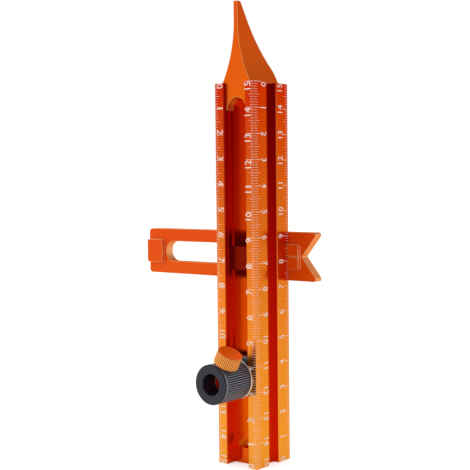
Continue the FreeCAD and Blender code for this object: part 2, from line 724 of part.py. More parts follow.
os.makedirs("parts", exist_ok=True)
for body in bodies:
    shape = body.Shape
    assert not shape.isNull() and shape.isValid() and len(shape.Solids) == 1, body.Label
    shape.exportStep(f"parts/{body.Label}.step")
    print(f"{body.Label}: {shape.Volume:.1f} mm3")
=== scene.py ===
import logging
import math
from dataclasses import dataclass, field, replace
from enum import Enum

import bpy
from mathutils import Matrix, Vector


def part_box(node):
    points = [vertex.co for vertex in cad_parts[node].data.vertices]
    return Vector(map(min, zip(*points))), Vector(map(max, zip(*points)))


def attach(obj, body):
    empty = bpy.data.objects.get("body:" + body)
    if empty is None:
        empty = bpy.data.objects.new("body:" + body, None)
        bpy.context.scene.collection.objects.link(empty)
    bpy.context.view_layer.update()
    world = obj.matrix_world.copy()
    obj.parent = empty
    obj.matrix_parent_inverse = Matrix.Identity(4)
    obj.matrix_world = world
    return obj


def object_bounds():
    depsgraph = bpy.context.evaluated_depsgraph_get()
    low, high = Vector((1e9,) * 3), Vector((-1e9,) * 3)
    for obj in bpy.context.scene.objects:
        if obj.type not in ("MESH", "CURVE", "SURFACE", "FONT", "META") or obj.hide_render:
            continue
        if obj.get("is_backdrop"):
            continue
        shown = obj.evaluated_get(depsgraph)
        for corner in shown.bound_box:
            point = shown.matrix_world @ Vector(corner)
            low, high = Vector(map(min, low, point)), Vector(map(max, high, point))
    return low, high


# Marking ruler in orange anodised aluminium: its finishes, its engraved scales and a plain studio.
# Metres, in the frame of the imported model: +Z up the beam, -Y its front face, +X its right side.

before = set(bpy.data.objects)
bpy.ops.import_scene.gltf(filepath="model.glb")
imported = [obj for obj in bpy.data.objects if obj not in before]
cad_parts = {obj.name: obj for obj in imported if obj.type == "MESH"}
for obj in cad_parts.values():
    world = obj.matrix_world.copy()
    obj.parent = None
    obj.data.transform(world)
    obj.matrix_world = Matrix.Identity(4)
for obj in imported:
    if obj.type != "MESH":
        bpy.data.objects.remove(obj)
PACKED_BOX = [list(corner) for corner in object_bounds()]

logging.basicConfig(level=logging.INFO, format="%(message)s")
LOG = logging.getLogger("marking_ruler")

Colour = tuple[float, float, float, float]
Triple = tuple[float, float, float]
Span = tuple[float, float]
Loop = tuple[int, ...]
GroupParts = tuple[bpy.types.NodeTree, bpy.types.Node, bpy.types.Node]

MM = 0.001
BEAM_LENGTH = 0.150
THUMB_TILT = math.radians(27.5)
THUMB_AXIS = (math.sin(THUMB_TILT), 0.0, math.cos(THUMB_TILT))
ALONG_Y = (0.0, 1.0, 0.0)

MARKS_PER_NUMBER = 10
MARKS_PER_HALF = 5
LAST_NUMBER = 15

FULL_LEVEL = 255
SRGB_KNEE = 0.04045
SRGB_SLOPE = 12.92
SRGB_OFFSET = 0.055
SRGB_POWER = 2.4
WHITE = (1.0, 1.0, 1.0, 1.0)

COLOUR_SOCKET = "NodeSocketColor"
NUMBER_SOCKET = "NodeSocketFloat"
VECTOR_SOCKET = "NodeSocketVector"


def linear(red: int, green: int, blue: int) -> Colour:
    """Colour for a shader from the 0 to 255 values that it shows on screen.

    Args:
        red: Red on screen.
        green: Green on screen.
        blue: Blue on screen.

    Returns:
        Linear red, green and blue, and an alpha of 1.
    """
    values = []
    for level in (red / FULL_LEVEL, green / FULL_LEVEL, blue / FULL_LEVEL):
        if level <= SRGB_KNEE:
            values.append(level / SRGB_SLOPE)
        else:
            values.append(((level + SRGB_OFFSET) / (1 + SRGB_OFFSET)) ** SRGB_POWER)
    return (values[0], values[1], values[2], 1.0)


def add_node(tree: bpy.types.NodeTree, kind: str, inputs: dict[str | int, object] | None = None,
             **settings: object) -> bpy.types.Node:
    """Add a shader node with its settings and the inputs that aren't linked.

    Args:
        tree: Node tree to build in.
        kind: Type of the node, without the ShaderNode that it starts with.
        inputs: Values of its inputs, by name or by position.
        **settings: Settings of the node itself, made before its inputs.

    Returns:
        The node.
    """
    node = tree.nodes.new(f"ShaderNode{kind}")
    for setting, value in settings.items():
        setattr(node, setting, value)
    for socket, value in (inputs or {}).items():
        node.inputs[socket].default_value = value
    return node


def add_material(name: str,
                 inputs: dict[str, object]) -> tuple[bpy.types.Material, bpy.types.Node]:
    """Make a material around one shader.

    Args:
        name: Name of the material.
        inputs: Values that are the same all over the surface.

    Returns:
        The material and its shader.
    """
    material = bpy.data.materials.new(name)
    material.use_nodes = True
    shader = material.node_tree.nodes["Principled BSDF"]
    for socket, value in inputs.items():
        shader.inputs[socket].default_value = value
    return material, shader


class Surface(Enum):
    """How a metal surface was worked: its relief marks per metre across and along the piece."""

    DRAWN = (5200.0, 45.0)
    BLASTED = (3600.0, 3600.0)
    TURNED = (2600.0, 900.0)


class Face(Enum):
    """Face of the beam that a scale is engraved on."""

    FRONT = "front"
    SIDE = "side"


class NumberPlace(Enum):
    """Where a number stands by its centimetre mark."""

    BESIDE = "beside"
    AT_END = "at_end"


class Groups:
    """The shader node groups that several finishes share."""

    # Positions of a Mix node's sockets, because its names repeat for every kind of data.
    COLOUR_A, COLOUR_B, COLOUR_RESULT = 6, 7, 2
    VECTOR_A, VECTOR_B, VECTOR_RESULT = 4, 5, 1

    CLOUDS_PER_METRE = 45.0
    CLOUD_DETAIL = 3.0
    NOISE_MIDDLE = 0.5
    BEVEL_SAMPLES = 6
    # How alike the rounded and the flat normal are where an edge's painted highlight
    # begins, and where it is shown in full.
    EDGE_BEGINS, EDGE_FULL = 0.990, 0.93
    # Share of the painted edge highlight that shows in the recesses.
    RECESS_EDGE_SHARE = 0.20
    # How far a plate's normal points along Y where a wall begins, and where it is all wall.
    WALL_BEGINS, WALL_FULL = 0.75, 0.25

    @staticmethod
    def start(name: str, inputs: dict[str, tuple[str, object]],
              outputs: dict[str, str]) -> GroupParts:
        """Make an empty group with named sockets.

        Args:
            name: Name of the group.
            inputs: Socket kind and default value of each input.
            outputs: Socket kind of each output.

        Returns:
            The group, its input node and its output node.
        """
        group = bpy.data.node_groups.new(name, "ShaderNodeTree")
        for label, (kind, value) in inputs.items():
            socket = group.interface.new_socket(label, in_out="INPUT", socket_type=kind)
            socket.default_value = value
        for label, kind in outputs.items():
            group.interface.new_socket(label, in_out="OUTPUT", socket_type=kind)
        return group, group.nodes.new("NodeGroupInput"), group.nodes.new("NodeGroupOutput")

    @staticmethod
    def mix(tree: bpy.types.NodeTree, mask: bpy.types.NodeSocket, below: bpy.types.NodeSocket,
            above: bpy.types.NodeSocket | Colour) -> bpy.types.NodeSocket:
        """Lay a colour over another where a mask says.

        Args:
            tree: Node tree to build in.
            mask: Where the upper colour goes.
            below: Lower colour.
            above: Upper colour, as a socket or as the colour itself.

        Returns:
            The two colours together.
        """
        both = add_node(tree, "Mix", data_type="RGBA")
        tree.links.new(mask, both.inputs["Factor"])
        tree.links.new(below, both.inputs[Groups.COLOUR_A])
        if isinstance(above, bpy.types.NodeSocket):
            tree.links.new(above, both.inputs[Groups.COLOUR_B])
        else:
            both.inputs[Groups.COLOUR_B].default_value = above
        return both.outputs[Groups.COLOUR_RESULT]

    @staticmethod
    def dye() -> bpy.types.NodeTree:
        """Anodising dye that clouds a little, with painted light: its tone shifts up a piece,
        painted shade darkens its recesses and a painted highlight pales its edges.

        Returns:
            The group, with its Color, the Cloud mask, the Edge mask of the painted highlight and
            the Edge Normal.
        """
        known = bpy.data.node_groups.get("anodising_dye_and_painted_light")
        if known:
            return known
        group, start, end = Groups.start(
            "anodising_dye_and_painted_light",
            {"Foot Color": (COLOUR_SOCKET, WHITE), "Head Color": (COLOUR_SOCKET, WHITE),
             "Shaded Recess Foot": (COLOUR_SOCKET, WHITE), "Shaded Recess Head": (COLOUR_SOCKET, WHITE),
             "Edge Highlight Color": (COLOUR_SOCKET, WHITE), "Foot Height": (NUMBER_SOCKET, 0.0),
             "Head Height": (NUMBER_SOCKET, BEAM_LENGTH), "Clouding": (NUMBER_SOCKET, 0.08),
             "Recess Half Width": (NUMBER_SOCKET, 0.0),
             "Recess Half Depth": (NUMBER_SOCKET, 0.0),
             "Edge Radius": (NUMBER_SOCKET, 0.25 * MM), "Edge Highlight Strength": (NUMBER_SOCKET, 0.0)},
            {"Color": COLOUR_SOCKET, "Cloud": NUMBER_SOCKET, "Edge": NUMBER_SOCKET,
             "Edge Normal": VECTOR_SOCKET})
        link = group.links.new
        place = add_node(group, "TexCoord")
        split = add_node(group, "SeparateXYZ")
        rise = add_node(group, "MapRange")
        cloud = add_node(group, "TexNoise",
                         {"Scale": Groups.CLOUDS_PER_METRE, "Detail": Groups.CLOUD_DETAIL})
        centred = add_node(group, "Math", {1: Groups.NOISE_MIDDLE}, operation="SUBTRACT")
        spread = add_node(group, "Math", operation="MULTIPLY_ADD", use_clamp=True)
        link(place.outputs["Object"], split.inputs[0])
        link(place.outputs["Object"], cloud.inputs["Vector"])
        link(split.outputs["Z"], rise.inputs["Value"])
        link(start.outputs["Foot Height"], rise.inputs["From Min"])
        link(start.outputs["Head Height"], rise.inputs["From Max"])
        link(cloud.outputs["Fac"], centred.inputs[0])
        link(centred.outputs[0], spread.inputs[0])
        link(start.outputs["Clouding"], spread.inputs[1])
        link(rise.outputs["Result"], spread.inputs[2])
        # Tone shifting from the foot colour to the head colour up the piece; on the beam and the
        # thumb head this is painted light.
        outside = Groups.mix(group, spread.outputs[0], start.outputs["Foot Color"],
                             start.outputs["Head Color"])
        # Painted shade: the channels and the slot take their own darker colours.
        recess_shade = Groups.mix(group, spread.outputs[0], start.outputs["Shaded Recess Foot"],
                          start.outputs["Shaded Recess Head"])
        inside = Groups.recess(group, start, split)
        colour = Groups.mix(group, inside, outside, recess_shade)
        Groups.brighten_edges(group, start, end, inside, colour)
        link(cloud.outputs["Fac"], end.inputs["Cloud"])
        return group

    @staticmethod
    def recess(group: bpy.types.NodeTree, start: bpy.types.Node,
               split: bpy.types.Node) -> bpy.types.NodeSocket:
        """Mask of the channels and the slot, where painted shade darkens the colour.

        Args:
            group: Group to build in.
            start: Its input node.
            split: Node that gives the place on the piece by axis.

        Returns:
            A socket that is 1 inside the channels and the slot.
        """
        link = group.links.new
        either = add_node(group, "Math", operation="MAXIMUM")
        limits = (("X", "Recess Half Width"), ("Y", "Recess Half Depth"))
        for position, (axis, limit) in enumerate(limits):
            distance = add_node(group, "Math", operation="ABSOLUTE")
            within = add_node(group, "Math", operation="LESS_THAN")
            link(split.outputs[axis], distance.inputs[0])
            link(distance.outputs[0], within.inputs[0])
            link(start.outputs[limit], within.inputs[1])
            link(within.outputs[0], either.inputs[position])
        return either.outputs[0]

    @staticmethod
    def brighten_edges(group: bpy.types.NodeTree, start: bpy.types.Node, end: bpy.types.Node,
                       inside: bpy.types.NodeSocket, colour: bpy.types.NodeSocket) -> None:
        """Round the broken edges in the light and paint a pale highlight on the outer ones.

        Args:
            group: Group to build in.
            start: Its input node.
            end: Its output node.
            inside: Mask of the recesses, whose edges keep only a faint painted highlight and their
                own normal.
            colour: Colour away from the edges.
        """
        link = group.links.new
        bevel = add_node(group, "Bevel", samples=Groups.BEVEL_SAMPLES)
        flat = add_node(group, "NewGeometry")
        alike = add_node(group, "VectorMath", operation="DOT_PRODUCT")
        mask = add_node(group, "MapRange",
                        {"From Min": Groups.EDGE_BEGINS, "From Max": Groups.EDGE_FULL})
        strength = add_node(group, "Math", operation="MULTIPLY")
        calm = add_node(group, "MapRange", {"To Min": 1.0, "To Max": Groups.RECESS_EDGE_SHARE})
        shown = add_node(group, "Math", operation="MULTIPLY")
        normal = add_node(group, "Mix", data_type="VECTOR")
        link(start.outputs["Edge Radius"], bevel.inputs["Radius"])
        link(bevel.outputs["Normal"], alike.inputs[0])
        link(flat.outputs["True Normal"], alike.inputs[1])
        link(alike.outputs["Value"], mask.inputs["Value"])
        link(mask.outputs["Result"], strength.inputs[0])
        link(start.outputs["Edge Highlight Strength"], strength.inputs[1])
        link(inside, calm.inputs["Value"])
        link(strength.outputs[0], shown.inputs[0])
        link(calm.outputs["Result"], shown.inputs[1])
        # Painted highlight: the pale edge colour laid over the outer edges.
        bright = Groups.mix(group, shown.outputs[0], colour, start.outputs["Edge Highlight Color"])
        link(bright, end.inputs["Color"])
        link(shown.outputs[0], end.inputs["Edge"])
        link(inside, normal.inputs["Factor"])
        link(bevel.outputs["Normal"], normal.inputs[Groups.VECTOR_A])
        link(flat.outputs["Normal"], normal.inputs[Groups.VECTOR_B])
        link(normal.outputs[Groups.VECTOR_RESULT], end.inputs["Edge Normal"])

    @staticmethod
    def crests() -> bpy.types.NodeTree:
        """Crests and grooves of the flutes of a round piece, by their distance from its axis.

        Returns:
            The group, with a Crests and a Grooves mask.
        """
        known = bpy.data.node_groups.get("flute_crests")
        if known:
            return known
        group, start, end = Groups.start(
            "flute_crests",
            {"Middle": (VECTOR_SOCKET, (0, 0, 0)), "Axis": (VECTOR_SOCKET, (0, 0, 1)),
             "Bottom": (NUMBER_SOCKET, 0.0), "Groove": (NUMBER_SOCKET, 0.0),
             "Crest": (NUMBER_SOCKET, 1.0)},
            {"Crests": NUMBER_SOCKET, "Grooves": NUMBER_SOCKET})
        link = group.links.new
        place = add_node(group, "TexCoord")
        offset = add_node(group, "VectorMath", operation="SUBTRACT")
        around = add_node(group, "VectorMath", operation="CROSS_PRODUCT")
        distance = add_node(group, "VectorMath", operation="LENGTH")
        beyond = add_node(group, "Math", operation="GREATER_THAN")
        low = add_node(group, "Math", operation="SUBTRACT", use_clamp=True)
        mask = add_node(group, "MapRange")
        link(place.outputs["Object"], offset.inputs[0])
        link(start.outputs["Middle"], offset.inputs[1])
        link(offset.outputs["Vector"], around.inputs[0])
        link(start.outputs["Axis"], around.inputs[1])
        link(around.outputs["Vector"], distance.inputs[0])
        link(distance.outputs["Value"], mask.inputs["Value"])
        link(start.outputs["Groove"], mask.inputs["From Min"])
        link(start.outputs["Crest"], mask.inputs["From Max"])
        link(mask.outputs["Result"], end.inputs["Crests"])
        link(distance.outputs["Value"], beyond.inputs[0])
        link(start.outputs["Bottom"], beyond.inputs[1])
        link(beyond.outputs[0], low.inputs[0])
        link(mask.outputs["Result"], low.inputs[1])
        link(low.outputs[0], end.inputs["Grooves"])
        return group

    @staticmethod
    def walls() -> bpy.types.NodeTree:
        """Cut walls of a plate that lies in the X and Z directions.

        Returns:
            The group, with a Mask output that is 1 on the walls.
        """
        known = bpy.data.node_groups.get("plate_walls")
        if known:
            return known
        group, _, end = Groups.start("plate_walls", {}, {"Mask": NUMBER_SOCKET})
        link = group.links.new
        place = add_node(group, "TexCoord")
        split = add_node(group, "SeparateXYZ")
        facing = add_node(group, "Math", operation="ABSOLUTE")
        mask = add_node(group, "MapRange",
                        {"From Min": Groups.WALL_BEGINS, "From Max": Groups.WALL_FULL})
        link(place.outputs["Normal"], split.inputs[0])
        link(split.outputs["Y"], facing.inputs[0])
        link(facing.outputs[0], mask.inputs["Value"])
        link(mask.outputs["Result"], end.inputs["Mask"])
        return group

    @staticmethod
    def grain() -> bpy.types.NodeTree:
        """Fine relief of a worked metal surface, with one density across it and one along Z.

        Returns:
            The group, with a Height output.
        """
        known = bpy.data.node_groups.get("metal_grain")
        if known:
            return known
        group, start, end = Groups.start(
            "metal_grain",
            {"Across": (NUMBER_SOCKET, 3000.0), "Along": (NUMBER_SOCKET, 3000.0),
             "Detail": (NUMBER_SOCKET, 2.0)},
            {"Height": NUMBER_SOCKET})
        link = group.links.new
        place = add_node(group, "TexCoord")
        density = add_node(group, "CombineXYZ")
        stretch = add_node(group, "VectorMath", operation="MULTIPLY")
        relief = add_node(group, "TexNoise", {"Scale": 1.0})
        for axis in ("X", "Y"):
            link(start.outputs["Across"], density.inputs[axis])
        link(start.outputs["Along"], density.inputs["Z"])
        link(place.outputs["Object"], stretch.inputs[0])
        link(density.outputs[0], stretch.inputs[1])
        link(stretch.outputs[0], relief.inputs["Vector"])
        link(start.outputs["Detail"], relief.inputs["Detail"])
        link(relief.outputs["Fac"], end.inputs["Height"])
        return group


@dataclass(frozen=True)
class FluteRing:
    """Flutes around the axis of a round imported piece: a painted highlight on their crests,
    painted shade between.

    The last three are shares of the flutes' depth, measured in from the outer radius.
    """

    node: str
    axis: Triple
    radius: float
    depth: float
    worn: Colour
    shade: Colour
    bottom_share: float = 1.15
    groove_share: float = 0.30
    crest_share: float = 0.06

    def middle(self) -> Vector:
        """Middle of the piece, which lies on its axis."""
        low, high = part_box(self.node)
        return (Vector(low) + Vector(high)) / 2

    def add(self, tree: bpy.types.NodeTree, base: bpy.types.NodeSocket) -> bpy.types.NodeSocket:
        """Lay the painted highlight onto the crests and the painted shade into the grooves.

        Args:
            tree: Node tree to build in.
            base: Colour of the rest of the piece.

        Returns:
            The colour with its flutes.
        """
        crests = add_node(tree, "Group", {
            "Middle": self.middle(), "Axis": self.axis,
            "Bottom": self.radius - self.bottom_share * self.depth,
            "Groove": self.radius - self.groove_share * self.depth,
            "Crest": self.radius - self.crest_share * self.depth}, node_tree=Groups.crests())
        shaded = Groups.mix(tree, crests.outputs["Grooves"], base, self.shade)
        return Groups.mix(tree, crests.outputs["Crests"], shaded, self.worn)


@dataclass(frozen=True)
class MetalFinish:
    """Dyed or bare metal, with the relief that its working left and painted light in its colours.
    """

    name: str
    # Colours at the foot and the head height; on the beam and the thumb head the shift between
    # them is painted light.
    foot: Colour
    head: Colour
    surface: Surface
    roughness: float
    roughness_swing: float = 0.04
    metallic: float = 1.0
    clouding: float = 0.10
    relief: float = 0.10
    relief_depth: float = 0.02 * MM
    foot_height: float = 0.0
    head_height: float = BEAM_LENGTH
    # Darker colours of the channels and the slot: painted shade.
    recess_foot: Colour = WHITE
    recess_head: Colour = WHITE
    recess_half_width: float = 0.0
    recess_half_depth: float = 0.0
    # Colour of the painted highlight on the outer edges.
    edge: Colour = (1.0, 0.45, 0.14, 1.0)
    edge_strength: float = 0.0
    edge_radius: float = 0.22 * MM
    grazing: Colour = WHITE
    # Pale colour of the cut walls of a plate: a painted reflection; the walls are also made fully
    # metallic.
    wall: Colour | None = None
    # Painted highlight on the crests of the flutes and painted shade in their grooves.
    flutes: FluteRing | None = None

    def dye(self, tree: bpy.types.NodeTree) -> bpy.types.Node:
        """Set the shared dye and its painted light to this finish's colours.

        Args:
            tree: Node tree to build in.

        Returns:
            The node of the dye and its painted light.
        """
        return add_node(tree, "Group", {
            "Foot Color": self.foot, "Head Color": self.head, "Foot Height": self.foot_height,
            "Head Height": self.head_height, "Clouding": self.clouding,
            "Shaded Recess Foot": self.recess_foot, "Shaded Recess Head": self.recess_head,
            "Recess Half Width": self.recess_half_width,
            "Recess Half Depth": self.recess_half_depth, "Edge Highlight Color": self.edge,
            "Edge Highlight Strength": self.edge_strength, "Edge Radius": self.edge_radius},
            node_tree=Groups.dye())

    def material(self) -> bpy.types.Material:
        """Build the material, or give the one already built.

        Returns:
            The finish as a material.
        """
        known = bpy.data.materials.get(f"{self.name}_finish")
        if known:
            return known
        material, shader = add_material(
            f"{self.name}_finish", {"Metallic": self.metallic, "Specular Tint": self.grazing})
        tree, link = material.node_tree, material.node_tree.links.new
        dye = self.dye(tree)
        sheen = add_node(tree, "MapRange", {"To Min": self.roughness - self.roughness_swing,
                                            "To Max": self.roughness + self.roughness_swing})
        across, along = self.surface.value
        grain = add_node(tree, "Group", {"Across": across, "Along": along},
                         node_tree=Groups.grain())
        bump = add_node(tree, "Bump", {"Strength": self.relief, "Distance": self.relief_depth})
        colour = dye.outputs["Color"]
        # Plate walls: a pale painted reflection, with the painted edge highlight laid over it
        # again and the walls made fully metallic.
        if self.wall:
            walls = add_node(tree, "Group", node_tree=Groups.walls())
            colour = Groups.mix(tree, walls.outputs["Mask"], colour, self.wall)
            colour = Groups.mix(tree, dye.outputs["Edge"], colour, self.edge)
            bare = add_node(tree, "MapRange", {"To Min": self.metallic})
            link(walls.outputs["Mask"], bare.inputs["Value"])
            link(bare.outputs["Result"], shader.inputs["Metallic"])
        if self.flutes:
            colour = self.flutes.add(tree, colour)
        link(colour, shader.inputs["Base Color"])
        link(dye.outputs["Cloud"], sheen.inputs["Value"])
        link(sheen.outputs["Result"], shader.inputs["Roughness"])
        link(grain.outputs["Height"], bump.inputs["Height"])
        link(dye.outputs["Edge Normal"], bump.inputs["Normal"])
        link(bump.outputs["Normal"], shader.inputs["Normal"])
        return material


@dataclass(frozen=True)
class MarkFinish:
    """Pale bare metal at the bottom of an engraved mark."""

    name: str
    colour: Colour
    roughness: float = 0.6
    clouding: float = 0.5
    # The marks darken towards the head, following the beam's painted light.
    head_share: float = 0.93

    def material(self) -> bpy.types.Material:
        """Build the material, or give the one already built.

        Returns:
            The finish as a material.
        """
        known = bpy.data.materials.get(f"{self.name}_finish")
        if known:
            return known
        material, shader = add_material(f"{self.name}_finish", {"Roughness": self.roughness})
        red, green, blue = (self.head_share * part for part in self.colour[:3])
        dye = add_node(material.node_tree, "Group", {
            "Foot Color": self.colour, "Head Color": (red, green, blue, 1.0),
            "Clouding": self.clouding}, node_tree=Groups.dye())
        material.node_tree.links.new(dye.outputs["Color"], shader.inputs["Base Color"])
        return material


WARM_GRAZING = (1.0, 0.55, 0.26, 1.0)
RED_GRAZING = (1.0, 0.36, 0.08, 1.0)
# Beam: lighter towards the foot and deeper red towards the head as painted light, darker in its
# recesses as painted shade, and paler at its outer edges as a painted highlight.
BEAM_ORANGE = MetalFinish("beam_orange", linear(248, 160, 54), linear(202, 40, 6),
                          Surface.DRAWN, roughness=0.20, relief=0.05,
                          recess_foot=linear(228, 92, 15), recess_head=linear(186, 14, 5),
                          recess_half_width=5.56 * MM, recess_half_depth=3.20 * MM,
                          edge_strength=0.75, grazing=WARM_GRAZING)
# Beak: a little darker towards its top; its edge colour is a painted highlight along its edges and
# crease.
BEAK_ORANGE = MetalFinish("nose_orange", linear(218, 94, 10), linear(204, 74, 10),
                          Surface.BLASTED, roughness=0.44, metallic=0.85, relief=0.35,
                          foot_height=0.140, head_height=0.181, edge=linear(255, 190, 110),
                          edge_strength=0.95, edge_radius=0.38 * MM, grazing=WARM_GRAZING)
# Plate: a little darker towards its head height; its edge colour is a painted highlight and its
# pale wall colour a painted reflection.
PLATE_ORANGE = MetalFinish("plate_orange", linear(236, 86, 5), linear(234, 74, 4),
                           Surface.BLASTED, roughness=0.42, metallic=0.25, relief=0.12,
                           foot_height=0.070, head_height=0.095, edge=linear(255, 196, 124),
                           edge_strength=0.95, edge_radius=0.38 * MM, grazing=RED_GRAZING,
                           wall=linear(240, 160, 108))
# The guide block is coloured a dark red as painted shade, and its edge colour is a dimmed painted
# highlight.
SHADED_BLOCK_ORANGE = MetalFinish("block_orange", linear(128, 22, 6), linear(122, 18, 5),
                           Surface.DRAWN, roughness=0.34, edge=linear(176, 60, 20),
                           edge_strength=0.4, grazing=WARM_GRAZING)
# Tube: its edges carry the pale painted highlight.
TUBE_ORANGE = MetalFinish("tube_orange", linear(206, 62, 9), linear(200, 52, 8),
                          Surface.TURNED, roughness=0.32, edge_strength=0.6)
# Thumb head: lighter towards its top as painted light, a painted highlight at its top edge and on
# its flute crests, and painted shade in its grooves.
THUMB_ORANGE = MetalFinish("thumb_orange", linear(204, 76, 8), linear(248, 96, 4),
                           Surface.TURNED, roughness=0.34, metallic=0.30,
                           foot_height=0.040, head_height=0.046, grazing=WARM_GRAZING,
                           edge=linear(255, 214, 150), edge_strength=0.6,
                           edge_radius=0.10 * MM,
                           flutes=FluteRing("thumb_head", THUMB_AXIS, 4.9 * MM, 0.22 * MM,
                                            worn=linear(255, 184, 88),
                                            shade=linear(200, 62, 4)))
# Barrel: a painted highlight on its flute crests and painted shade in its grooves.
BARREL_BLACK = MetalFinish("barrel_black", linear(30, 32, 42), linear(34, 36, 46),
                           Surface.TURNED, roughness=0.30, metallic=0.30, clouding=0.2,
                           flutes=FluteRing("pencil_barrel", ALONG_Y, 7.8 * MM, 0.38 * MM,
                                            worn=linear(118, 115, 126),
                                            shade=linear(7, 7, 10)))
# The knob takes the barrel's painted highlight and shade on its own flutes.
KNOB_BLACK = replace(BARREL_BLACK, name="knob_black",
                     flutes=replace(BARREL_BLACK.flutes, node="clamp_knob", radius=8.0 * MM))
WASHER_STEEL = MetalFinish("washer_steel", linear(214, 213, 210), linear(222, 221, 219),
                           Surface.TURNED, roughness=0.22)
SHOE_STEEL = MetalFinish("shoe_steel", linear(132, 130, 134), linear(142, 140, 144),
                         Surface.DRAWN, roughness=0.42)
BRIGHT_STEEL = MetalFinish("steel", linear(168, 168, 170), linear(176, 176, 178),
                           Surface.TURNED, roughness=0.28)
ENGRAVED = MarkFinish("engraved_mark", linear(255, 238, 226))


@dataclass
class PackedPieces:
    """A sub-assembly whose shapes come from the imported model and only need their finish."""

    title: str
    finishes: dict[str, MetalFinish]

    def build(self) -> None:
        """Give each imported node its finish, and report it."""
        for node, finish in self.finishes.items():
            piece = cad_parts[node]
            material = finish.material()
            if not piece.material_slots:
                piece.data.materials.append(material)
            for slot in piece.material_slots:
                slot.material = material
            LOG.info("%s: %s in %s", self.title, node, finish.name)


@dataclass
class Glyphs:
    """Plain numbers as flat outlines of one height."""

    height: float = 2.95 * MM
    widening: float = 0.92
    curve_steps: int = 3

    def outline(self, number: int) -> tuple[list[Vector], list[Loop], float]:
        """Flat mesh of a number, centred on the origin, reading along +X with its top at +Y.

        Args:
            number: The number to draw.

        Returns:
            Its points, its faces, and its length along the reading direction.
        """
        words = bpy.data.curves.new("number_outline", "FONT")
        words.body = str(number)
        words.resolution_u = self.curve_steps
        carrier = bpy.data.objects.new("number_carrier", words)
        bpy.context.scene.collection.objects.link(carrier)
        bpy.context.view_layer.update()
        mesh = bpy.data.meshes.new_from_object(
            carrier.evaluated_get(bpy.context.evaluated_depsgraph_get()))
        across = [point.co.x for point in mesh.vertices]
        upward = [point.co.y for point in mesh.vertices]
        lift = self.height / (max(upward) - min(upward))
        stretch = lift * self.widening
        length = stretch * (max(across) - min(across))
        middle = ((max(across) + min(across)) / 2, (max(upward) + min(upward)) / 2)
        points = [Vector(((point.co.x - middle[0]) * stretch, (point.co.y - middle[1]) * lift, 0))
                  for point in mesh.vertices]
        faces = [tuple(polygon.vertices) for polygon in mesh.polygons]
        bpy.data.objects.remove(carrier)
        bpy.data.curves.remove(words)
        bpy.data.meshes.remove(mesh)
        return points, faces, length


